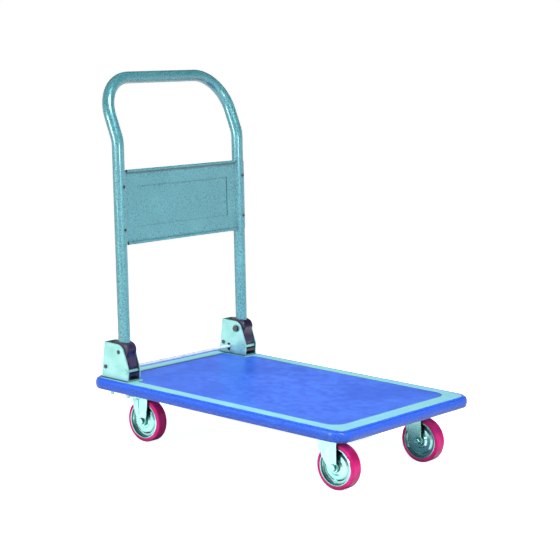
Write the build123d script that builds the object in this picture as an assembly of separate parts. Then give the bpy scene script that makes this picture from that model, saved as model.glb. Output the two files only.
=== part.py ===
from build123d import *
import os
from math import cos, radians, sin, sqrt

# Platform trolley with a fold-down push handle.
# Laid out about the middle of the deck: X runs from the handle end to the front, Z is up from the floor.
# One side (the right one, at -Y) is drawn and the left one mirrored.

# ---- driving dimensions, mm ----
deck_length = 740
deck_width = 480
deck_top = 150
wheel_radius = 50
wheel_width = 27
wheel_y = 153
rear_wheel_x = -266
front_wheel_x = 297
tube_radius = 14
tube_y = 202.8
clearance = 0.3

# ---- deck ----
sheet = 1.6
bumper_depth = 12
bumper_bottom = 125
bumper_bulge = 2.8
skirt_length = deck_length - 2 * bumper_depth
skirt_width = deck_width - 2 * bumper_depth
skirt_corner = 23
skirt_bottom = bumper_bottom + 2
band_under = deck_top - sheet
recess = 2.4
field_top = deck_top - recess
field_under = field_top - sheet
mat_thickness = 2
mat_gap = 1.2
mat_top = field_top + mat_thickness
field_x = 325
field_y = 202
field_corner = 33
notch_x = -253
notch_y = 177
notch_corner = 8

# ---- casters ----
mount_z = 124.5
plate_thickness = 3
plate_under = mount_z - plate_thickness
plate_length = 98
plate_width = 67
bolt_pitch_x = 75
bolt_pitch_y = 45
kingpin_x = -294
front_plate_x = 275
leg_thickness = 2.8
leg_inner = 17
leg_outer = leg_inner + leg_thickness
crown_under = 103.5
crown_top = 106.5
race_top = 108.5
race_under = 112
ball_radius = 3.2
ball_pitch = 21.5
ball_z = 110.25
ball_count = 16

# ---- wheels ----
seat_radius = 40.5
hub_radius = 11
hub_half = 15.5
bush_radius = 8.5
sleeve_radius = 6

# ---- channels under the deck ----
channel_sheet = 2
channel_width = 108
channel_flange = 10
channel_half_length = 222

# ---- M8 fasteners ----
bolt_radius = 4
hole_radius = 4.25
head_flats = 13
head_height = 5.3
nut_height = 6.5
bolt_end = 1.5
bracket_bolt_end = 10.5

# ---- hinge brackets ----
bracket_sheet = 3
bracket_half = 20
bracket_inner = tube_y - bracket_half
bracket_outer = tube_y + bracket_half
pivot_x = -292.7
pivot_z = 215.6
pivot_radius = 5
running = 0.05
stop_x = -268.7
stop_z = 173
stop_radius = 4.3
tie_x = -333.7
tie_z = 176
tie_radius = 3
bracket_bolt_x = (-332, -281)
button_radius = 7.2
button_height = 3
spacer_radius = 6.5

# ---- release bar ----
bar_x = -315.5
bar_z = 168
bar_radius = 4
bar_travel = 5
lock_radius = 47.2
block_under = 161.5
spring_x = -303
spring_radius = 4
spring_wire = 0.6
spring_top = 166

# ---- handle ----
tube_wall = 1.6
lean = 3.16
tube_foot_x = pivot_x
slope = 24
bend_z = 694.5
bar_top_z = 832.2
bend_radius = 60
corner_radius = 92
tube_foot = -30
toe_radius = 46
shoe_half = bracket_half - 3.5
panel_low = 246
panel_high = 411
panel_sheet = 1.2
panel_forward = 4
hem_radius = 3.2
emboss_margin = 35
emboss_half = 158
emboss_depth = 1.6
screw_heights = (279, 377)
screw_radius = 2
screw_hole = 2.05
screw_head_radius = 3.6
screw_head_height = 2.2


# ---- helpers ----
def side_plane(y):
    return Plane(origin=(0, y, 0), x_dir=(1, 0, 0), z_dir=(0, -1, 0))


def between(profile, y0, y1):
    """An outline in X and Z, extruded from y0 to y1."""
    return extrude(side_plane(y1) * profile, amount=y1 - y0, dir=(0, -1, 0))


def pin_y(x, z, radius, y0, y1):
    return between(Pos(x, z) * Circle(radius), y0, y1)


def pin_z(x, y, radius, z0, z1):
    return Pos(x, y, (z0 + z1) / 2) * Cylinder(radius, z1 - z0)


def hexagon_z(x, y, z0, z1):
    return slab(Pos(x, y) * RegularPolygon(head_flats / 2, 6, major_radius=False), z0, z1)


def ring_z(x, y, outer, inner, z0, z1):
    return (pin_z(x, y, outer, z0, z1) - pin_z(x, y, inner, z0, z1)).solid()


def nut_z(x, y, z0):
    return (hexagon_z(x, y, z0, z0 + nut_height) - pin_z(x, y, bolt_radius, z0, z0 + nut_height)).solid()


def hexagon_y(x, z, flats, y0, y1):
    return between(Pos(x, z) * RegularPolygon(flats / 2, 6, major_radius=False), y0, y1)


def outline(*points):
    return Polygon(*points, align=None)


def block(x0, x1, y0, y1, z0, z1):
    return Pos((x0 + x1) / 2, (y0 + y1) / 2, (z0 + z1) / 2) * Box(x1 - x0, y1 - y0, z1 - z0)


def slab(profile, z0, z1):
    return extrude(Pos(0, 0, z0) * profile, amount=z1 - z0, dir=(0, 0, 1))


def left(shape):
    return mirror(shape, about=Plane.XZ)


def both(shape):
    return solids_of(shape) + solids_of(left(shape))


def solids_of(*shapes):
    return [solid for shape in shapes for solid in shape.solids()]


def group(solids):
    return Compound(children=list(solids))


# ---- deck ----
def field_outline(grow):
    """The recess for the mat: a rounded rectangle that steps in at the two brackets."""
    half = [
        ((field_x + grow, field_y + grow), field_corner + grow),
        ((notch_x - grow, field_y + grow), notch_corner + grow),
        ((notch_x - grow, notch_y + grow), notch_corner - grow),
        ((-field_x - grow, notch_y + grow), notch_corner + grow),
    ]
    corners = half + [((x, -y), radius) for (x, y), radius in reversed(half)]
    points = [point for point, _ in corners]
    return make_face(FilletPolyline(*points, radius=[radius for _, radius in corners], close=True))


def deck_tray():
    body = slab(RectangleRounded(skirt_length, skirt_width, skirt_corner), skirt_bottom, deck_top)
    body = fillet(body.faces().sort_by(Axis.Z)[-1].edges(), sheet)
    inside = RectangleRounded(skirt_length - 2 * sheet, skirt_width - 2 * sheet, skirt_corner - sheet)
    body -= slab(inside, skirt_bottom, band_under)
    body += slab(field_outline(sheet), field_under, band_under)
    body -= slab(field_outline(0), field_top, deck_top)
    for x, y in bracket_bolt_places():
        body -= pin_z(x, y, hole_radius, field_under, deck_top)
    return body


def bracket_bolt_places():
    return [(x, side * tube_y) for x in bracket_bolt_x for side in (-1, 1)]


def deck_mat():
    return slab(field_outline(-mat_gap), field_top, mat_top)


def edge_bumper():
    """Extruded edging pushed up over the deck's skirt: a round face, a bead along its top and a lip inside."""
    path = RectangleRounded(skirt_length, skirt_width, skirt_corner).wire()
    tangent = path % 0
    outward = tangent.cross(Vector(0, 0, 1))
    start = path @ 0
    if outward.dot(start) < 0:
        outward = -outward
    grip = 0.05
    lip_in = -sheet - grip - 2.2
    lip_top = bumper_bottom + 9
    shoulder = deck_top - 3.4
    bead_foot = 5.4
    groove = (bead_foot + 0.5, shoulder - 1.6)
    corner_out = bumper_depth - bumper_bulge
    bead_top = (bead_foot / 2, deck_top - 0.2)
    bead = ThreePointArc((grip, deck_top - 2.4), bead_top, (bead_foot, deck_top - 2.8))
    top_side = Polyline(bead @ 1, groove, (bead_foot + 1.3, shoulder), (corner_out, shoulder))
    face_mid = (bumper_depth, (shoulder + bumper_bottom) / 2)
    face = ThreePointArc((corner_out, shoulder), face_mid, (corner_out, bumper_bottom))
    inside = Polyline(
        (corner_out, bumper_bottom),
        (lip_in, bumper_bottom),
        (lip_in, lip_top),
        (-sheet - grip, lip_top),
        (-sheet - grip, skirt_bottom - grip),
        (grip, skirt_bottom - grip),
        bead @ 0,
    )
    section = make_face(Curve() + [bead, top_side, face, inside])
    section = fillet([v for v in section.vertices() if abs(v.X - corner_out) < 0.01], 2.4)
    plane = Plane(origin=start, x_dir=outward, z_dir=outward.cross(Vector(0, 0, 1)))
    return sweep(plane * section, path=path)


def cross_channel(x, outer):
    """A hat section across the deck. Its outer flange (on side outer) is welded under the raised band."""
    half = channel_width / 2
    t = channel_sheet
    inner_x = x - outer * half
    outer_x = x + outer * half
    profile = outline(
        (inner_x - outer * channel_flange, field_under),
        (inner_x + outer * t, field_under),
        (inner_x + outer * t, mount_z + t),
        (outer_x - outer * t, mount_z + t),
        (outer_x - outer * t, band_under),
        (outer_x + outer * channel_flange, band_under),
        (outer_x + outer * channel_flange, band_under - t),
        (outer_x, band_under - t),
        (outer_x, mount_z),
        (inner_x, mount_z),
        (inner_x, field_under - t),
        (inner_x - outer * channel_flange, field_under - t),
    )
    body = between(profile, -channel_half_length, channel_half_length)
    inset = 4.5
    inside_skirt = RectangleRounded(skirt_length - 2 * inset, skirt_width - 2 * inset, skirt_corner - inset)
    body &= slab(inside_skirt, 0, deck_top)
    for bolt_x, bolt_y in caster_bolt_places(x):
        body -= pin_z(bolt_x, bolt_y, hole_radius, mount_z, mount_z + t)
    return body


def rear_channel():
    body = cross_channel(kingpin_x, -1)
    for x, y in bracket_bolt_places():
        body -= pin_z(x, y, hole_radius, mount_z, mount_z + channel_sheet)
    return body


def caster_bolt_places(x):
    return [
        (x + dx * bolt_pitch_x / 2, side * wheel_y + dy * bolt_pitch_y / 2)
        for side in (-1, 1)
        for dx in (-1, 1)
        for dy in (-1, 1)
    ]


def all_caster_bolt_places():
    return caster_bolt_places(kingpin_x) + caster_bolt_places(front_plate_x)


def caster_bolts():
    """Set screws up through the caster plates and the channels."""
    tip = mount_z + channel_sheet + nut_height + bolt_end
    bolts = []
    for x, y in all_caster_bolt_places():
        head = hexagon_z(x, y, plate_under - head_height, plate_under)
        bolts.append((head + pin_z(x, y, bolt_radius, plate_under, tip)).solid())
    return group(bolts)


def caster_nuts():
    return group(nut_z(x, y, mount_z + channel_sheet) for x, y in all_caster_bolt_places())


def bracket_bolts():
    """Button-head screws down through the bracket, the deck, a spacer and the channel."""
    seat = deck_top + bracket_sheet
    tip = mount_z - nut_height - bracket_bolt_end
    bolts = []
    for x, y in bracket_bolt_places():
        head = pin_z(x, y, button_radius, seat, seat + button_height)
        head = fillet(head.edges().sort_by(Axis.Z)[-1], 2)
        bolts.append((head + pin_z(x, y, bolt_radius, tip, seat)).solid())
    return group(bolts)


def bracket_nuts():
    return group(nut_z(x, y, mount_z - nut_height) for x, y in bracket_bolt_places())


def bracket_spacers():
    low = mount_z + channel_sheet
    return group(ring_z(x, y, spacer_radius, hole_radius, low, band_under) for x, y in bracket_bolt_places())


# ---- hinge brackets ----
def bracket():
    """Pressed housing: two side walls, a leaning rear wall and a floor, open at the front and the top."""
    walls = outline(
        (-350, deck_top),
        (-342, 233.5),
        (-282.7, 233.5),
        (-260.7, 178),
        (-261.7, deck_top),
    )
    crest = walls.vertices().sort_by(Axis.Y)[-2:].sort_by(Axis.X)[-1]
    walls = fillet(crest, 22)
    body = between(walls, -bracket_outer, -bracket_inner)
    rear_edges = body.edges().filter_by(lambda e: e.center().X < -345 and e.length > 80)
    body = fillet(rear_edges, 6)
    foot_edges = body.edges().filter_by(lambda e: e.center().Z < deck_top + 0.01 and e.center().X < -265)
    body = fillet(foot_edges, bracket_sheet - 0.2)
    floor = deck_top + bracket_sheet
    inside = outline((-346.7, floor), (-339, 240), (-200, 240), (-200, floor))
    cavity = between(inside, -bracket_outer + bracket_sheet, -bracket_inner - bracket_sheet)
    inner_edges = cavity.edges().filter_by(lambda e: e.center().X < -336 and e.length > 80)
    body -= fillet(inner_edges, 3)
    for x in bracket_bolt_x:
        body -= pin_z(x, -tube_y, hole_radius, deck_top, floor)
    body -= pin_y(pivot_x, pivot_z, pivot_radius, -bracket_outer, -bracket_inner)
    body -= pin_y(stop_x, stop_z, stop_radius, -bracket_outer, -bracket_inner)
    body -= pin_y(tie_x, tie_z, tie_radius, -bracket_outer, -bracket_inner)
    slot = SlotCenterToCenter(bar_travel + 5, 2 * bar_radius + 0.8, 90)
    slot = Pos(bar_x, bar_z - bar_travel / 2 + 1.5) * slot
    body -= between(slot, -bracket_inner - bracket_sheet, -bracket_inner)
    return body


def headed_pin(x, z, radius, head_radius, head_height_in, head_height_out):
    """A pin through both walls of the bracket, with a head on each side."""
    body = pin_y(x, z, radius, -bracket_outer, -bracket_inner)
    body += pin_y(x, z, head_radius, -bracket_inner, -bracket_inner + head_height_in)
    body += pin_y(x, z, head_radius, -bracket_outer - head_height_out, -bracket_outer)
    return body


def pivot_pins():
    body = pin_y(pivot_x, pivot_z, pivot_radius, -bracket_outer, -bracket_inner)
    head = hexagon_y(pivot_x, pivot_z, 14, -bracket_inner, -bracket_inner + 5)
    return group(both(body + head))


def stop_pins():
    return group(both(headed_pin(stop_x, stop_z, stop_radius, stop_radius + 0.9, 1.2, 1.2)))


def tie_rivets():
    return group(both(headed_pin(tie_x, tie_z, tie_radius, tie_radius + 1.6, 1.6, 1.6)))


# ---- release bar ----
def release_bar():
    end = bracket_outer - bracket_sheet - 1.5
    body = pin_y(bar_x, bar_z, bar_radius, -end, end)
    return chamfer(body.edges().filter_by(GeomType.CIRCLE), 0.6)


def arc_point(radius, x):
    """The point below the pivot at the given x, on a circle about the pivot."""
    return (x, pivot_z - sqrt(radius**2 - (x - pivot_x) ** 2))


def lock_block():
    """Slides under the toe of the handle's shoe, following its circle, and carries the release bar."""
    front_x = -262.7
    rear_x = -326.7
    step_x = stop_x - stop_radius - 1.8
    under_stop = stop_z - stop_radius - 1
    crown_a = arc_point(lock_radius, step_x)
    crown_b = arc_point(lock_radius, pivot_x)
    crown_c = arc_point(lock_radius, rear_x + 5.5)
    sides = Polyline(
        crown_c,
        (rear_x, crown_c[1]),
        (rear_x, block_under),
        (front_x, block_under),
        (front_x, under_stop),
        (step_x, under_stop),
        crown_a,
    )
    profile = make_face(Curve() + [sides, ThreePointArc(crown_a, crown_b, crown_c)])
    body = between(profile, -tube_y - shoe_half + 0.5, -tube_y + shoe_half - 0.5)
    body -= pin_y(bar_x, bar_z, bar_radius, -bracket_outer, -bracket_inner)
    body -= pin_z(spring_x, -tube_y, spring_radius + spring_wire + 0.6, block_under, spring_top)
    return body


def release_spring():
    low = deck_top + bracket_sheet + spring_wire
    high = spring_top - spring_wire
    coil = Helix(pitch=(high - low) / 4, height=high - low, radius=spring_radius)
    start = Plane(origin=coil @ 0, z_dir=coil % 0)
    wire = sweep(start * Circle(spring_wire), path=coil, is_frenet=True)
    return Pos(spring_x, -tube_y, low) * wire


# ---- handle ----
def along_tube(height, forward=0):
    """X and Z of a place on the lower part of the tubes: height up along the tube from the pivot's level."""
    a = radians(lean)
    return (tube_foot_x - height * sin(a) + forward * cos(a), pivot_z + height * cos(a) + forward * sin(a))


def handle_corners():
    lean_a = radians(lean)
    slope_a = radians(slope)
    bend_x = tube_foot_x - (bend_z - pivot_z) * sin(lean_a) / cos(lean_a)
    top_x = bend_x - (bar_top_z - bend_z) * sin(slope_a) / cos(slope_a)
    return bend_x, top_x


def handle_tube():
    foot_x, foot_z = along_tube(tube_foot)
    bend_x, top_x = handle_corners()
    half = [(foot_x, -tube_y, foot_z), (bend_x, -tube_y, bend_z), (top_x, -tube_y, bar_top_z)]
    points = half + [(x, -y, z) for x, y, z in reversed(half)]
    path = FilletPolyline(*points, radius=[bend_radius, corner_radius, corner_radius, bend_radius])
    start = Plane(origin=path @ 0, z_dir=path % 0)
    body = sweep(start * Circle(tube_radius), path=path)
    body -= sweep(start * Circle(tube_radius - tube_wall), path=path)
    for y in (-tube_y, tube_y):
        body -= pin_y(pivot_x, pivot_z, pivot_radius + running, y - tube_radius, y + tube_radius)
        for height in screw_heights:
            body -= screw_shank(y, height, screw_hole)
    return body


def handle_plane(height=0, forward=0):
    """X across the trolley, Y up along the tubes, Z towards the deck."""
    x, z = along_tube(height, forward)
    a = radians(lean)
    return Plane(origin=(x, 0, z), x_dir=(0, 1, 0), z_dir=(cos(a), 0, sin(a)))


def screw_shank(y, height, radius):
    """A screw from inside the tube's front wall to just past the saddle."""
    return handle_plane(height) * (Pos(y, 0, tube_radius - 2) * Cylinder(radius, 8))


def handle_panel():
    """Sheet between the tubes, with rolled edges, a pressed field and a saddle over each tube."""
    height = panel_high - panel_low
    half = tube_y - tube_radius - 0.4
    body = Box(2 * half, height, panel_sheet)
    field = (2 * emboss_half, height - 2 * emboss_margin)
    body += Pos(0, 0, -emboss_depth) * Box(*field, panel_sheet)
    body += Pos(0, 0, -emboss_depth / 2) * Box(*field, emboss_depth)
    pocket = (2 * (emboss_half - panel_sheet), height - 2 * (emboss_margin + panel_sheet))
    body -= Pos(0, 0, (panel_sheet - emboss_depth) / 2) * Box(*pocket, emboss_depth)
    hem_forward = hem_radius - panel_sheet / 2
    for edge in (-height / 2, height / 2):
        body += Pos(0, edge, hem_forward) * Rot(0, 90, 0) * Cylinder(hem_radius, 2 * half - 4)
    body = handle_plane((panel_low + panel_high) / 2, panel_forward) * body
    for y in (-tube_y, tube_y):
        body += saddle(y)
        for screw in screw_heights:
            body -= screw_shank(y, screw, screw_hole)
    return body


def saddle(y):
    a = radians(lean)
    x, z = along_tube(panel_low)
    across = Plane(origin=(x, y, z), x_dir=(0, 1, 0), z_dir=(-sin(a), 0, cos(a)))
    inner = tube_radius + running
    outer = inner + panel_sheet
    half_ring = (Circle(outer) - Circle(inner)) & (Pos(0, -outer / 2) * Rectangle(2 * outer, outer))
    return extrude(across * half_ring, amount=panel_high - panel_low)


def panel_screws():
    seat = tube_radius + running + panel_sheet - 0.25
    screws = []
    for y in (-tube_y, tube_y):
        for height in screw_heights:
            head = Pos(y, 0, seat + screw_head_height / 2) * Cylinder(screw_head_radius, screw_head_height)
            head = fillet(head.edges().sort_by(Axis.Z)[-1], 1.2)
            drive = Pos(y, 0, seat + 2) * (Box(3.6, 0.8, 1) + Box(0.8, 3.6, 1))
            screw = handle_plane(height) * (head - drive) + screw_shank(y, height, screw_radius)
            screws.append((screw - saddle_barrel(y, height)).solid())
    return group(screws)


def saddle_barrel(y, height):
    """The outside of the saddle, cut from under a screw's head so that it seats on the curve."""
    outer = tube_radius + running + panel_sheet
    a = radians(lean)
    x, z = along_tube(height - 6)
    across = Plane(origin=(x, y, z), x_dir=(0, 1, 0), z_dir=(-sin(a), 0, cos(a)))
    barrel = extrude(across * Circle(outer), amount=12)
    return barrel - screw_shank(y, height, screw_radius)


def hinge_shoe():
    """Cast foot round the tube's end, with a shoulder about the pivot and a toe that meets the stop pin."""
    toe_front = arc_point(toe_radius, stop_x - stop_radius - 0.4)
    toe_mid = arc_point(toe_radius, -286.7)
    toe_rear = arc_point(toe_radius, -304.7)
    shoulder = ThreePointArc((-285.2, 238), (-273.4, 232), (-268.6, 219))
    waist = ThreePointArc((-268.6, 219), (-271.2, 206), (-268.6, 194))
    rest = Polyline(
        (-268.6, 194),
        (-266.3, 184.5),
        (-267.3, 179.2),
        (toe_front[0], 179.2),
        toe_front,
    )
    toe = ThreePointArc(toe_front, toe_mid, toe_rear)
    back = Polyline(toe_rear, (-309.7, 175), (-316.7, 195), (-315.2, 222), (-313.7, 238), (-285.2, 238))
    profile = make_face(Curve() + [shoulder, waist, rest, toe, back])
    body = between(profile, -tube_y - shoe_half, -tube_y + shoe_half)
    top_front = body.faces().filter_by(lambda f: f.center().Z > 200 and f.center().X > -288)
    edges = [e for f in top_front for e in f.edges()]
    rounded_edges = [e for e in edges if abs(abs(e.center().Y + tube_y) - shoe_half) < 0.1]
    body = fillet(rounded_edges, 4)
    a = radians(lean)
    foot_x, foot_z = along_tube(tube_foot)
    socket = Plane(origin=(foot_x, -tube_y, foot_z), x_dir=(0, 1, 0), z_dir=(-sin(a), 0, cos(a)))
    body -= extrude(socket * Circle(tube_radius + running), amount=80)
    body -= pin_y(pivot_x, pivot_z, pivot_radius + running, -bracket_outer, -bracket_inner)
    return body


# ---- casters ----
def top_plate(x):
    body = slab(Pos(x, -wheel_y) * RectangleRounded(plate_length, plate_width, 8), plate_under, mount_z)
    for bolt_x, bolt_y in caster_bolt_places(x):
        if bolt_y < 0:
            body -= pin_z(bolt_x, bolt_y, hole_radius, plate_under, mount_z)
    return body


def ball_groove():
    return Pos(kingpin_x, -wheel_y, ball_z) * Torus(ball_pitch, ball_radius + 0.15)


def swivel_plate():
    body = top_plate(kingpin_x)
    cup = slab(Pos(kingpin_x, -wheel_y) * Circle(27.5), race_under, plate_under)
    cup -= slab(Pos(kingpin_x, -wheel_y) * Circle(15.5), race_under, plate_under)
    body += cup
    body -= ball_groove()
    return body - pin_z(kingpin_x, -wheel_y, 6, plate_under, mount_z)


def kingpin():
    head = pin_z(kingpin_x, -wheel_y, 10, crown_under - 4.8, crown_under - 0.6)
    return head + pin_z(kingpin_x, -wheel_y, 6, crown_under - 0.6, mount_z - 0.1)


def swivel_balls():
    centre = Pos(kingpin_x, -wheel_y, ball_z)
    places = PolarLocations(ball_pitch, ball_count)
    return group((centre * place * Sphere(ball_radius)).solid() for place in places)


def legs(profile, axle_x):
    """Both legs of a fork, with the hole for the axle."""
    body = between(profile, -wheel_y - leg_outer, -wheel_y - leg_inner)
    body += between(profile, -wheel_y + leg_inner, -wheel_y + leg_outer)
    return body - pin_y(axle_x, wheel_radius, bolt_radius, -wheel_y - leg_outer, -wheel_y + leg_outer)


def leg_outline(rear_top, rear_bulge, front_top, front_low, axle_x):
    """A leg that narrows in a curve from the crown to a round end about the axle."""
    end_radius = 11
    foot = wheel_radius - end_radius
    rear_side = (axle_x - end_radius * cos(radians(35)), wheel_radius - end_radius * sin(radians(35)))
    edges = [
        ThreePointArc(rear_top, rear_bulge, rear_side),
        ThreePointArc(rear_side, (axle_x, foot), (axle_x + end_radius, wheel_radius)),
        Polyline((axle_x + end_radius, wheel_radius), front_low, front_top, rear_top),
    ]
    return make_face(Curve() + edges)


def rear_fork():
    x = rear_wheel_x
    profile = leg_outline((x - 32, crown_under), (x - 25, 76), (x + 16, crown_under), (x + 15.5, 84), x)
    body = legs(profile, x)
    rib = Pos(x - 14, 82) * SlotCenterToCenter(28, 8, 96)
    body += between(rib, -wheel_y - leg_outer - 1, -wheel_y - leg_outer)
    body += between(rib, -wheel_y + leg_outer, -wheel_y + leg_outer + 1)
    body += slab(Pos(kingpin_x, -wheel_y) * Circle(32), crown_under, crown_top)
    body += block(x - 32, x + 16, -wheel_y - leg_outer, -wheel_y + leg_outer, crown_under, crown_top)
    body += slab(Pos(kingpin_x, -wheel_y) * Circle(27.5), crown_top, race_top)
    body -= ball_groove()
    return body - pin_z(kingpin_x, -wheel_y, 6 + running, crown_under, race_top)


def front_fork():
    x = front_wheel_x
    profile = leg_outline((x - 48, plate_under), (x - 33, 72), (x + 4.5, plate_under), (x + 6.5, 62), x)
    return top_plate(front_plate_x) + legs(profile, x)


def axle(x):
    """Bolt with its head outside and its washer and nut inside."""
    outer = -wheel_y - leg_outer
    inner = -wheel_y + leg_outer
    bolt = hexagon_y(x, wheel_radius, 13, outer - head_height, outer)
    bolt += pin_y(x, wheel_radius, bolt_radius, outer, inner + 12)
    washer = pin_y(x, wheel_radius, 8.5, inner, inner + 1.6)
    nut = hexagon_y(x, wheel_radius, 13, inner + 1.6, inner + 1.6 + nut_height)
    hole = pin_y(x, wheel_radius, bolt_radius, inner, inner + 12)
    return group(solids_of(bolt, washer - hole, nut - hole))


def axle_sleeve(x):
    body = pin_y(x, wheel_radius, sleeve_radius, -wheel_y - leg_inner, -wheel_y + leg_inner)
    return body - pin_y(x, wheel_radius, bolt_radius + 0.1, -wheel_y - leg_inner, -wheel_y + leg_inner)


def turned(profile, x):
    """A section drawn as radius and distance from the wheel's middle plane, turned about the axle."""
    plane = Plane(origin=(x, -wheel_y, wheel_radius), x_dir=(1, 0, 0), z_dir=(0, 0, -1))
    axis = Axis((x, -wheel_y, wheel_radius), (0, 1, 0))
    return revolve(plane * profile, axis, 360)


def tyre(x):
    half = wheel_width / 2
    profile = Pos((wheel_radius + seat_radius) / 2, 0) * Rectangle(wheel_radius - seat_radius, wheel_width)
    outer = [v for v in profile.vertices() if v.X > wheel_radius - 1]
    return turned(fillet(outer, 3.5), x)


def wheel_discs(x):
    """Two pressed half discs back to back, each with a dished web, a tyre seat and a rolled lip."""
    pressed = outline(
        (hub_radius, 13.5), (15, 13.5), (18.5, 10.2), (27, 9.6), (31.5, 6.6), (36.5, 6.6), (38.6, 9.2),
        (38.8, 13.2), (39.3, 14.2), (40.7, 14.2), (41.2, 13.5), (seat_radius, 13.5), (seat_radius, 0.1),
        (38.7, 0.1), (38.7, 4.8), (31, 4.8), (26.4, 7.8), (17.7, 8.4), (14.2, 11.7), (hub_radius, 11.7),
    )
    near = turned(mirror(pressed, about=Plane.XZ), x)
    far = turned(pressed, x)
    return group(solids_of(near, far))


def wheel_hub(x):
    body = pin_y(x, wheel_radius, hub_radius, -wheel_y - hub_half, -wheel_y + hub_half)
    return body - pin_y(x, wheel_radius, bush_radius, -wheel_y - hub_half, -wheel_y + hub_half)


def wheel_bushes(x):
    bushes = []
    for side in (-1, 1):
        y0, y1 = sorted((-wheel_y + side * 6, -wheel_y + side * hub_half))
        f0, f1 = sorted((-wheel_y + side * hub_half, -wheel_y + side * (hub_half + 1.1)))
        body = pin_y(x, wheel_radius, bush_radius, y0, y1) + pin_y(x, wheel_radius, 10, f0, f1)
        bushes.append((body - pin_y(x, wheel_radius, sleeve_radius + running, y0 - 2, y1 + 2)).solid())
    return group(bushes)


# ---- whole trolley ----
def trolley():
    nodes = {
        "deck_tray": deck_tray(),
        "deck_mat": deck_mat(),
        "edge_bumper": edge_bumper(),
        "cross_channel_rear": rear_channel(),
        "cross_channel_front": cross_channel(front_plate_x, 1),
        "caster_bolts": caster_bolts(),
        "caster_nuts": caster_nuts(),
        "bracket_bolts": bracket_bolts(),
        "bracket_nuts": bracket_nuts(),
        "bracket_spacers": bracket_spacers(),
        "pivot_pins": pivot_pins(),
        "stop_pins": stop_pins(),
        "tie_rivets": tie_rivets(),
        "release_bar": release_bar(),
        "release_springs": group(both(release_spring())),
        "handle_tube": handle_tube(),
        "handle_panel": handle_panel(),
        "panel_screws": panel_screws(),
    }
    for name, shape in (
        ("hinge_bracket", bracket()),
        ("hinge_shoe", hinge_shoe()),
        ("lock_block", lock_block()),
        ("swivel_plate", swivel_plate()),
        ("kingpin", kingpin()),
        ("swivel_balls", swivel_balls()),
        ("rear_fork", rear_fork()),
        ("front_fork", front_fork()),
    ):
        nodes[name + "_right"] = shape
        nodes[name + "_left"] = left(shape)
    for end, x in (("rear", rear_wheel_x), ("front", front_wheel_x)):
        for name, make in (
            ("axle", axle),
            ("axle_sleeve", axle_sleeve),
            ("tyre", tyre),
            ("wheel_discs", wheel_discs),
            ("wheel_hub", wheel_hub),
            ("wheel_bushes", wheel_bushes),
        ):
            shape = make(x)
            nodes[f"{name}_{end}_right"] = shape
            nodes[f"{name}_{end}_left"] = left(shape)
    return nodes


# The origin is on the floor, under the middle of the whole length from the top bar to the front bumper.
_, top_bar_x = handle_corners()
rearmost = top_bar_x - tube_radius
to_origin = Location((-(rearmost + deck_length / 2) / 2, 0, 0))

os.makedirs("parts", exist_ok=True)
for node, shape in trolley().items():
    export_step(shape.moved(to_origin), f"parts/{node}.step")
print("nodes written:", len(os.listdir("parts")), "shift x:", round(to_origin.position.X, 3))
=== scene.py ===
"""Platform trolley: finishes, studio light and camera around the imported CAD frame."""

from math import cos, radians, sin

import bpy
from mathutils import Matrix, Vector

# ---- camera, degrees and metres ----
view_azimuth = 39.784
view_elevation = 9.486
view_roll = 1.242
view_distance = 3.8854
view_lens = 108.95
deck_middle = Vector((0.012224, 0, 0))
aim_right = 0.0058
aim_up = 0.3881

# ---- room light ----
ground_light = 0.12
wall_light = 0.95
ceiling_light = 0.12
dark_side = (0.5, 0.866, 0)
dark_share = 0.35
floor_glow = 0.9

# ---- finish colours, linear ----
teal = (0.074, 0.305, 0.365)
teal_light = (0.14, 0.445, 0.485)
teal_dark = (0.035, 0.18, 0.23)
aqua = (0.2, 0.56, 0.72)
aqua_green = (0.23, 0.62, 0.58)
aqua_dark = (0.11, 0.35, 0.5)
mat_blue = (0.028, 0.12, 0.64)
mat_light = (0.065, 0.19, 0.78)
mat_dark = (0.014, 0.07, 0.5)
royal_blue = (0.03, 0.13, 0.86)
royal_light = (0.08, 0.25, 0.98)
royal_dark = (0.01, 0.04, 0.5)
blue_sheen = (0.35, 0.7, 1)
mint = (0.3, 0.67, 0.62)
mint_light = (0.42, 0.79, 0.76)
mint_dark = (0.13, 0.38, 0.38)
crimson = (0.84, 0.016, 0.23)
crimson_light = (0.98, 0.045, 0.36)
crimson_dark = (0.3, 0.006, 0.11)
# colour of the painted shade in creases and between parts
crevice_shade_navy = (0.008, 0.022, 0.05)
plum = (0.02, 0.013, 0.045)
plum_light = (0.06, 0.045, 0.1)
plum_dark = (0.008, 0.006, 0.018)


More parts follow.
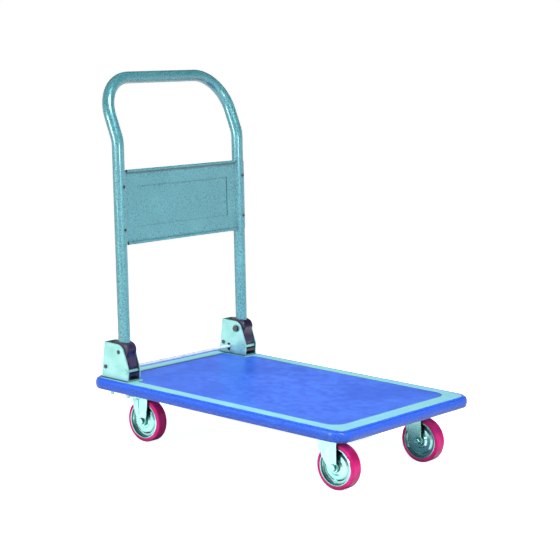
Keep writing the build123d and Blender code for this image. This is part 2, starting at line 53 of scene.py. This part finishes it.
# ---- node helpers ----
class Surface:
    """One procedural material. Its textures are laid out in the part's own metres and ride with it."""

    def __init__(self, name):
        self.material = bpy.data.materials.new(name)
        self.material.use_nodes = True
        self.tree = self.material.node_tree
        self.shader = self.tree.nodes["Principled BSDF"]
        self.place = self.node("ShaderNodeTexCoord").outputs["Object"]

    def node(self, kind, inputs=None, **settings):
        made = self.tree.nodes.new(kind)
        for key, value in settings.items():
            setattr(made, key, value)
        for key, value in (inputs or {}).items():
            if isinstance(value, bpy.types.NodeSocket):
                self.tree.links.new(value, made.inputs[key])
            else:
                made.inputs[key].default_value = value
        return made

    def stretched(self, scale):
        return self.node("ShaderNodeMapping", {"Vector": self.place, "Scale": scale}).outputs["Vector"]

    def noise(self, per_metre, detail=2.0, stretch=None, roughness=0.5):
        place = self.stretched(stretch) if stretch else self.place
        inputs = {"Vector": place, "Scale": per_metre, "Detail": detail, "Roughness": roughness}
        return self.node("ShaderNodeTexNoise", inputs).outputs["Fac"]

    def cells(self, per_metre, feature="F1", stretch=None):
        place = self.stretched(stretch) if stretch else self.place
        inputs = {"Vector": place, "Scale": per_metre}
        return self.node("ShaderNodeTexVoronoi", inputs, feature=feature).outputs["Distance"]

    def spread(self, value, low, high, new_low=0.0, new_high=1.0):
        inputs = {"Value": value, "From Min": low, "From Max": high, "To Min": new_low, "To Max": new_high}
        return self.node("ShaderNodeMapRange", inputs).outputs["Result"]

    def blend(self, share, first, second):
        made = self.node("ShaderNodeMix", data_type="RGBA")
        for key, value in {"Factor": share, 6: first, 7: second}.items():
            socket = made.inputs[key]
            if isinstance(value, bpy.types.NodeSocket):
                self.tree.links.new(value, socket)
            else:
                socket.default_value = (*value, 1) if isinstance(value, tuple) else value
        return made.outputs[2]

    def sum(self, first, second):
        return self.node("ShaderNodeMath", {0: first, 1: second}, operation="ADD").outputs["Value"]

    def painted_crevice_shade(self, colour, reach, share=0.8, dark=crevice_shade_navy):
        """Painted shade: darkens the colour towards a dark colour where another surface stands within reach,
        as shade falls in creases and between parts.
        """
        near = self.node("ShaderNodeAmbientOcclusion", {"Distance": reach}, samples=8).outputs["AO"]
        return self.blend(self.spread(near, 0.9, 0.35, 0, share), colour, dark)

    def bump(self, height, depth, strength=1.0, under=None):
        inputs = {"Height": height, "Distance": depth, "Strength": strength}
        if under is not None:
            inputs["Normal"] = under
        return self.node("ShaderNodeBump", inputs).outputs["Normal"]

    def wire(self, name, value):
        if isinstance(value, bpy.types.NodeSocket):
            self.tree.links.new(value, self.shader.inputs[name])
        elif isinstance(value, tuple):
            self.shader.inputs[name].default_value = (*value, 1)
        else:
            self.shader.inputs[name].default_value = value


def set_finish(surface, values):
    for name, value in values.items():
        surface.wire(name, value)
    return surface.material


# ---- finishes ----
def hammered_paint():
    """Teal hammer-finish enamel: small light and dark flecks and a dimpled skin."""
    s = Surface("handle_paint")
    flecks = s.noise(330, 3, roughness=0.65)
    dimples = s.cells(260, "SMOOTH_F1")
    clouds = s.noise(14, 3)
    colour = s.blend(s.spread(flecks, 0.34, 0.66), teal_dark, teal_light)
    colour = s.blend(0.3, colour, teal)
    colour = s.blend(s.spread(clouds, 0.45, 0.75, 0, 0.35), colour, teal_light)
    scuffs = s.noise(90, 6, (1, 1, 0.15), 0.7)
    colour = s.blend(s.spread(scuffs, 0.66, 0.8, 0, 0.5), colour, teal_dark)
    # painted shade: the paint darkens in creases and where other parts stand close
    colour = s.painted_crevice_shade(colour, 0.012)
    rough = s.spread(flecks, 0.3, 0.7, 0.2, 0.42)
    skin = s.bump(dimples, 0.0003, 0.5, s.bump(flecks, 0.0002, 0.5))
    return set_finish(s, {
        "Base Color": colour, "Roughness": rough, "Normal": skin, "Metallic": 0.25,
        "Coat Weight": 0.8, "Coat Roughness": 0.06,
    })


def powder_coat():
    """Aqua powder coat on the deck pressing, a little greener in patches, with an orange-peel skin."""
    s = Surface("deck_paint")
    patches = s.noise(7, 3)
    specks = s.noise(500, 2)
    colour = s.blend(s.spread(patches, 0.42, 0.62), aqua, aqua_green)
    colour = s.blend(s.spread(specks, 0.3, 0.7, 0.0, 0.25), colour, aqua_dark)
    wear = s.noise(60, 8, (0.25, 0.25, 1), 0.75)
    colour = s.blend(s.spread(wear, 0.63, 0.74, 0, 0.45), colour, aqua_dark)
    peel = s.noise(320, 2)
    # painted shade: the deck paint darkens in creases and where other parts stand close
    colour = s.painted_crevice_shade(colour, 0.008)
    return set_finish(s, {
        "Base Color": colour, "Roughness": s.spread(wear, 0.35, 0.7, 0.28, 0.48),
        "Normal": s.bump(peel, 0.00015, 0.6), "Coat Weight": 0.3, "Coat Roughness": 0.15,
    })


def grained_mat():
    """Blue vinyl deck mat with a leather grain: mottled at the size of a coin, with broad rubbed zones."""
    s = Surface("deck_mat")
    zones = s.noise(6, 2)
    mottle = s.noise(55, 3, roughness=0.55)
    grain = s.noise(330, 2)
    colour = s.blend(s.spread(mottle, 0.36, 0.64), mat_dark, mat_light)
    colour = s.blend(0.45, colour, mat_blue)
    colour = s.blend(s.spread(zones, 0.52, 0.68, 0, 0.35), colour, mat_light)
    colour = s.blend(s.spread(zones, 0.46, 0.34, 0, 0.4), colour, mat_dark)
    # painted shade: the mat darkens where other parts stand close
    colour = s.painted_crevice_shade(colour, 0.02, 0.6)
    return set_finish(s, {
        "Base Color": colour, "Roughness": s.spread(mottle, 0.3, 0.7, 0.32, 0.4),
        "Normal": s.bump(grain, 0.00003, 0.5),
        "Specular IOR Level": 0.3, "Specular Tint": blue_sheen,
    })


def bumper_vinyl():
    """Royal-blue extruded edging with faint drawn lines along it and rubbed light specks."""
    s = Surface("bumper_rubber")
    specks = s.noise(380, 3, roughness=0.7)
    drawn = s.noise(900, 2, (0.02, 0.02, 1))
    rubs = s.noise(30, 8, (0.35, 0.35, 1.6), 0.75)
    colour = s.blend(s.spread(specks, 0.38, 0.68), royal_dark, royal_light)
    colour = s.blend(0.55, colour, royal_blue)
    colour = s.blend(s.spread(rubs, 0.56, 0.72, 0, 0.45), colour, royal_light)
    rough = s.spread(rubs, 0.35, 0.7, 0.14, 0.26)
    # painted shade: the bumper darkens in its groove and where other parts stand close
    colour = s.painted_crevice_shade(colour, 0.006, 0.9)
    skin = s.bump(drawn, 0.00012, 0.5, s.bump(specks, 0.00018, 0.5))
    return set_finish(s, {
        "Base Color": colour, "Roughness": rough, "Normal": skin, "Specular IOR Level": 0.2,
        "Specular Tint": blue_sheen, "Coat Weight": 0.3, "Coat Roughness": 0.1,
    })


def zinc_plate():
    """Bright zinc plate with a pale green passivation: soft stains, rolling marks and tiny pits."""
    s = Surface("zinc_plate")
    stains = s.noise(28, 5, roughness=0.6)
    rolled = s.noise(260, 3, (1, 1, 0.08))
    pits = s.noise(620, 2)
    colour = s.blend(s.spread(stains, 0.35, 0.65), mint, mint_light)
    colour = s.blend(s.spread(stains, 0.62, 0.78, 0, 0.5), colour, mint_dark)
    colour = s.blend(s.spread(pits, 0.66, 0.76, 0, 0.6), colour, mint_dark)
    rough = s.sum(s.spread(rolled, 0.3, 0.7, 0.24, 0.36), s.spread(stains, 0.3, 0.7, 0.0, 0.12))
    # painted shade: the zinc darkens in creases and where other parts stand close
    colour = s.painted_crevice_shade(colour, 0.02, 0.85)
    skin = s.bump(rolled, 0.00008, 0.4, s.bump(pits, 0.0001, 0.4))
    return set_finish(s, {"Base Color": colour, "Roughness": rough, "Normal": skin, "Metallic": 0.6})


def wheel_zinc():
    """Smooth bright zinc on the pressed forks and wheel discs: spun marks, a few stains and dark specks."""
    s = Surface("wheel_zinc")
    stains = s.noise(40, 4, roughness=0.6)
    spun = s.noise(700, 2, (1, 0.12, 1))
    specks = s.noise(750, 2)
    colour = s.blend(s.spread(stains, 0.4, 0.66), mint_light, mint)
    colour = s.blend(s.spread(specks, 0.67, 0.77, 0, 0.6), colour, mint_dark)
    # painted shade: the discs and forks darken in the dish and where other parts stand close
    colour = s.painted_crevice_shade(colour, 0.025, 0.9)
    rough = s.spread(stains, 0.3, 0.7, 0.16, 0.28)
    return set_finish(s, {
        "Base Color": colour, "Roughness": rough, "Normal": s.bump(spun, 0.00004, 0.4), "Metallic": 0.9,
    })


def shoe_casting():
    """Dark plum moulded casting with a fine pebbled skin and a low sheen."""
    s = Surface("shoe_casting")
    pebbles = s.cells(800, "F1")
    clouds = s.noise(45, 4)
    colour = s.blend(s.spread(clouds, 0.4, 0.65), plum_dark, plum_light)
    colour = s.blend(0.5, colour, plum)
    dust = s.noise(260, 6, roughness=0.75)
    colour = s.blend(s.spread(dust, 0.62, 0.75, 0, 0.35), colour, plum_light)
    rough = s.spread(clouds, 0.35, 0.7, 0.22, 0.38)
    return set_finish(s, {"Base Color": colour, "Roughness": rough, "Normal": s.bump(pebbles, 0.0002, 0.5)})


def urethane():
    """Crimson cast urethane: faint flow clouds, dust specks and a scuffed running surface."""
    s = Surface("urethane")
    clouds = s.noise(35, 3)
    specks = s.noise(420, 4, roughness=0.7)
    colour = s.blend(s.spread(clouds, 0.38, 0.64), crimson, crimson_light)
    colour = s.blend(s.spread(specks, 0.62, 0.76, 0, 0.55), colour, crimson_dark)
    colour = s.blend(s.spread(specks, 0.36, 0.24, 0, 0.5), colour, crimson_light)
    # painted shade: the tyre darkens to a near-black crimson where other parts stand close
    colour = s.painted_crevice_shade(colour, 0.025, 0.85, (0.03, 0.002, 0.02))
    rough = s.spread(specks, 0.3, 0.7, 0.34, 0.55)
    return set_finish(s, {
        "Base Color": colour, "Roughness": rough, "Normal": s.bump(specks, 0.00025, 0.6),
        "Specular IOR Level": 0.3, "Specular Tint": (1, 0.35, 0.6),
    })


def plain_metal(name, base, shade, smooth, rough, bare=1.0):
    """Bare steel: a slow tarnish, fine grinding lines and a few dark pits."""
    s = Surface(name)
    tarnish = s.noise(40, 4)
    lines = s.noise(1400, 2, (1, 0.05, 1))
    pits = s.noise(900, 2)
    colour = s.blend(s.spread(tarnish, 0.4, 0.7), base, shade)
    colour = s.blend(s.spread(pits, 0.68, 0.78, 0, 0.5), colour, shade)
    skin = s.bump(lines, 0.00005, 0.4)
    return set_finish(s, {
        "Base Color": colour, "Roughness": s.spread(tarnish, 0.3, 0.7, smooth, rough),
        "Normal": skin, "Metallic": bare,
    })


def channel_paint():
    """Grey-blue primer on the hat sections under the deck, thin in streaks."""
    s = Surface("channel_paint")
    streaks = s.noise(60, 6, (1, 0.2, 1), 0.65)
    specks = s.noise(700, 2)
    colour = s.blend(s.spread(streaks, 0.35, 0.7), (0.1, 0.26, 0.34), (0.17, 0.38, 0.47))
    colour = s.blend(s.spread(specks, 0.62, 0.75, 0, 0.5), colour, (0.05, 0.12, 0.17))
    rough = s.spread(streaks, 0.3, 0.7, 0.4, 0.6)
    return set_finish(s, {"Base Color": colour, "Roughness": rough, "Normal": s.bump(specks, 0.0001, 0.5)})


def bush_nylon():
    """Off-white nylon with a slight yellowing and a matt turned skin."""
    s = Surface("bush_nylon")
    clouds = s.noise(120, 4)
    turned = s.noise(1500, 2)
    colour = s.blend(s.spread(clouds, 0.35, 0.7), (0.78, 0.77, 0.7), (0.62, 0.58, 0.45))
    return set_finish(s, {
        "Base Color": colour, "Roughness": s.spread(clouds, 0.3, 0.7, 0.4, 0.55),
        "Normal": s.bump(turned, 0.00006, 0.5),
    })


# ---- which piece takes which finish ----
def assign(nodes, finishes):
    plain_nodes = {
        "deck_tray": "deck_paint",
        "deck_mat": "deck_mat",
        "edge_bumper": "bumper_rubber",
        "cross_channel_rear": "channel_paint",
        "cross_channel_front": "channel_paint",
        "handle_tube": "handle_paint",
        "handle_panel": "handle_paint",
        "release_bar": "bright_steel",
        "release_springs": "dark_steel",
        "panel_screws": "dark_steel",
        "pivot_pins": "dark_steel",
        "tie_rivets": "dark_steel",
    }
    starts = {
        "rear_fork": "wheel_zinc",
        "front_fork": "wheel_zinc",
        "swivel_plate": "wheel_zinc",
        "axle_rear": "wheel_zinc",
        "axle_front": "wheel_zinc",
        "wheel_discs": "wheel_zinc",
        "wheel_hub": "wheel_zinc",
        "hinge_shoe": "shoe_casting",
        "lock_block": "shoe_casting",
        "tyre": "urethane",
        "wheel_bushes": "bush_nylon",
        "swivel_balls": "ball_steel",
        "kingpin": "bright_steel",
    }
    for name, piece in nodes.items():
        finish = plain_nodes.get(name)
        for start, chosen in starts.items():
            if name.startswith(start):
                finish = chosen
        finish = finish or "zinc_plate"
        for slot in piece.material_slots:
            slot.material = finishes[finish]


def soften(piece, width):
    """Rounds the sharp edges of a CAD piece so that they catch the light. Its outer faces stay in place."""
    weld = piece.modifiers.new("weld", "WELD")
    weld.merge_threshold = 1e-6
    bevel = piece.modifiers.new("soft_edges", "BEVEL")
    bevel.width = width
    bevel.segments = 2
    bevel.limit_method = "ANGLE"
    bevel.angle_limit = radians(40)
    bevel.harden_normals = True
    piece.modifiers.new("even_shading", "WEIGHTED_NORMAL")


# ---- stage ----
def studio_floor():
    """White floor. It doesn't bounce diffuse light, so that the low sides stay as dark as in a dim studio."""
    bpy.ops.mesh.primitive_plane_add(size=4000, location=(0, 0, 0))
    floor = bpy.context.object
    floor.name = "studio_floor"
    floor.visible_diffuse = False
    s = Surface("studio_floor")
    mottle = s.noise(1.5, 3)
    floor.data.materials.append(set_finish(s, {
        "Base Color": s.blend(mottle, (0.8, 0.8, 0.8), (0.84, 0.84, 0.84)), "Roughness": 0.9,
        "Specular IOR Level": 0.0, "Emission Color": (1, 1, 1), "Emission Strength": floor_glow,
    }))


def painted_floor_shadow_card():
    """Painted shadow: a dark, faintly glowing card on the floor under the deck that stands in for the floor's
    shadow there, seen only in the wheels' and the forks' reflections.
    """
    bpy.ops.mesh.primitive_plane_add(size=1, location=(0.03, 0.02, 0.001))
    card = bpy.context.object
    card.name = "painted_floor_shadow_card"
    card.scale = (0.62, 0.36, 1)
    card.visible_camera = False
    card.visible_diffuse = False
    card.visible_shadow = False
    s = Surface("painted_floor_shadow_card")
    mottle = s.noise(9, 2)
    # painted shadow: dark mottled colour with a dim blue glow
    card.data.materials.append(set_finish(s, {
        "Base Color": s.blend(mottle, (0.02, 0.05, 0.07), (0.03, 0.07, 0.09)), "Roughness": 0.9,
        "Emission Color": (0.05, 0.12, 0.2), "Emission Strength": 1.0,
    }))


def softbox(name, azimuth, elevation, distance, width, height, power, spread=180):
    """A rectangular soft light that hangs round the trolley and faces its middle."""
    a = radians(azimuth)
    e = radians(elevation)
    away = Vector((sin(a) * cos(e), -cos(a) * cos(e), sin(e)))
    light = bpy.data.lights.new(name, "AREA")
    light.shape = "RECTANGLE"
    light.size = width
    light.size_y = height
    light.energy = power
    light.spread = radians(spread)
    lamp = bpy.data.objects.new(name, light)
    lamp.location = deck_middle + Vector((0, 0, 0.35)) + away * distance
    lamp.rotation_euler = away.to_track_quat("Z", "Y").to_euler()
    bpy.context.scene.collection.objects.link(lamp)


def studio_walls():
    """The room: a bright band of wall round the horizon that darkens to one side, dim above and below."""
    world = bpy.data.worlds.new("studio")
    world.use_nodes = True
    bpy.context.scene.world = world
    tree = world.node_tree
    direction = tree.nodes.new("ShaderNodeTexCoord").outputs["Generated"]
    split = tree.nodes.new("ShaderNodeSeparateXYZ")
    height = tree.nodes.new("ShaderNodeMapRange")
    height.inputs["From Min"].default_value = -1
    ramp = tree.nodes.new("ShaderNodeValToRGB")
    tree.links.new(direction, split.inputs["Vector"])
    tree.links.new(split.outputs["Z"], height.inputs["Value"])
    tree.links.new(height.outputs["Result"], ramp.inputs["Fac"])
    tree.links.new(ramp.outputs["Color"], tree.nodes["Background"].inputs["Color"])
    levels = (
        (0.0, ground_light),
        (0.46, ground_light),
        (0.49, 1),
        (0.503, 1),
        (0.52, wall_light),
        (0.6, wall_light),
        (0.72, ceiling_light),
    )
    stops = ramp.color_ramp.elements
    while len(stops) < len(levels):
        stops.new(1)
    for stop, (place, level) in zip(stops, levels):
        stop.position = place
        stop.color = (level, level, level, 1)
    side = tree.nodes.new("ShaderNodeVectorMath")
    side.operation = "DOT_PRODUCT"
    side.inputs[1].default_value = dark_side
    tree.links.new(direction, side.inputs[0])
    fade = tree.nodes.new("ShaderNodeMapRange")
    fade.inputs["From Min"].default_value = 0.6
    fade.inputs["From Max"].default_value = -0.6
    fade.inputs["To Min"].default_value = dark_share
    tree.links.new(side.outputs["Value"], fade.inputs["Value"])
    low = tree.nodes.new("ShaderNodeMapRange")
    low.inputs["From Min"].default_value = 0.04
    low.inputs["From Max"].default_value = 0.02
    tree.links.new(split.outputs["Z"], low.inputs["Value"])
    strength = tree.nodes.new("ShaderNodeMath")
    strength.operation = "MAXIMUM"
    tree.links.new(fade.outputs["Result"], strength.inputs[0])
    tree.links.new(low.outputs["Result"], strength.inputs[1])
    tree.links.new(strength.outputs["Value"], tree.nodes["Background"].inputs["Strength"])


def studio_light():
    studio_walls()
    softbox("key_left", -20, 14, 2.3, 0.4, 0.5, 18)
    softbox("key_right", 64, 16, 1.6, 0.25, 0.35, 7.6)
    softbox("top", 75, 62, 2.2, 0.9, 0.9, 8, 50)
    softbox("strip_left", -10, 0, 1.3, 0.05, 0.66, 1.2)


def aim_camera():
    a = radians(view_azimuth)
    e = radians(view_elevation)
    roll = radians(view_roll)
    back = Vector((sin(a) * cos(e), -cos(a) * cos(e), sin(e)))
    level = Vector((cos(a), sin(a), 0))
    upright = back.cross(level)
    right = level * cos(roll) + upright * sin(roll)
    up = upright * cos(roll) - level * sin(roll)
    place = deck_middle + right * aim_right + up * aim_up + back * view_distance
    data = bpy.data.cameras.new("camera")
    data.lens = view_lens
    data.clip_end = 5000
    camera = bpy.data.objects.new("camera", data)
    camera.matrix_world = Matrix.Translation(place) @ Matrix((right, up, back)).transposed().to_4x4()
    bpy.context.scene.collection.objects.link(camera)
    bpy.context.scene.camera = camera


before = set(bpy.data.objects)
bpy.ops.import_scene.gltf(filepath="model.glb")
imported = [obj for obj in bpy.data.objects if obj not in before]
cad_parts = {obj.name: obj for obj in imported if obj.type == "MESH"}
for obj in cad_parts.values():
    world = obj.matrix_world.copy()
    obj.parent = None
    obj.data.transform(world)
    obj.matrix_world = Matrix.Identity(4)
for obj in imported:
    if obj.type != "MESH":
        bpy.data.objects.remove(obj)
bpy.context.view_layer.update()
assign(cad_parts, {
    "deck_paint": powder_coat(),
    "deck_mat": grained_mat(),
    "bumper_rubber": bumper_vinyl(),
    "channel_paint": channel_paint(),
    "handle_paint": hammered_paint(),
    "shoe_casting": shoe_casting(),
    "urethane": urethane(),
    "bush_nylon": bush_nylon(),
    "ball_steel": plain_metal("ball_steel", (0.75, 0.77, 0.78), (0.5, 0.52, 0.55), 0.08, 0.2),
    "dark_steel": plain_metal("dark_steel", (0.1, 0.13, 0.14), (0.04, 0.05, 0.055), 0.22, 0.4),
    "wheel_zinc": wheel_zinc(),
    "bright_steel": plain_metal("bright_steel", (0.9, 0.95, 0.96), (0.7, 0.78, 0.82), 0.14, 0.26, 0.4),
    "zinc_plate": zinc_plate(),
})
for name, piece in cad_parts.items():
    if name.startswith(("hinge_bracket", "front_fork", "rear_fork", "lock_block", "hinge_shoe")):
        soften(piece, 0.0005)
studio_floor()
# painted floor shadow under the deck, seen only in reflections
painted_floor_shadow_card()
studio_light()
aim_camera()
bpy.context.scene.view_settings.view_transform = "Standard"
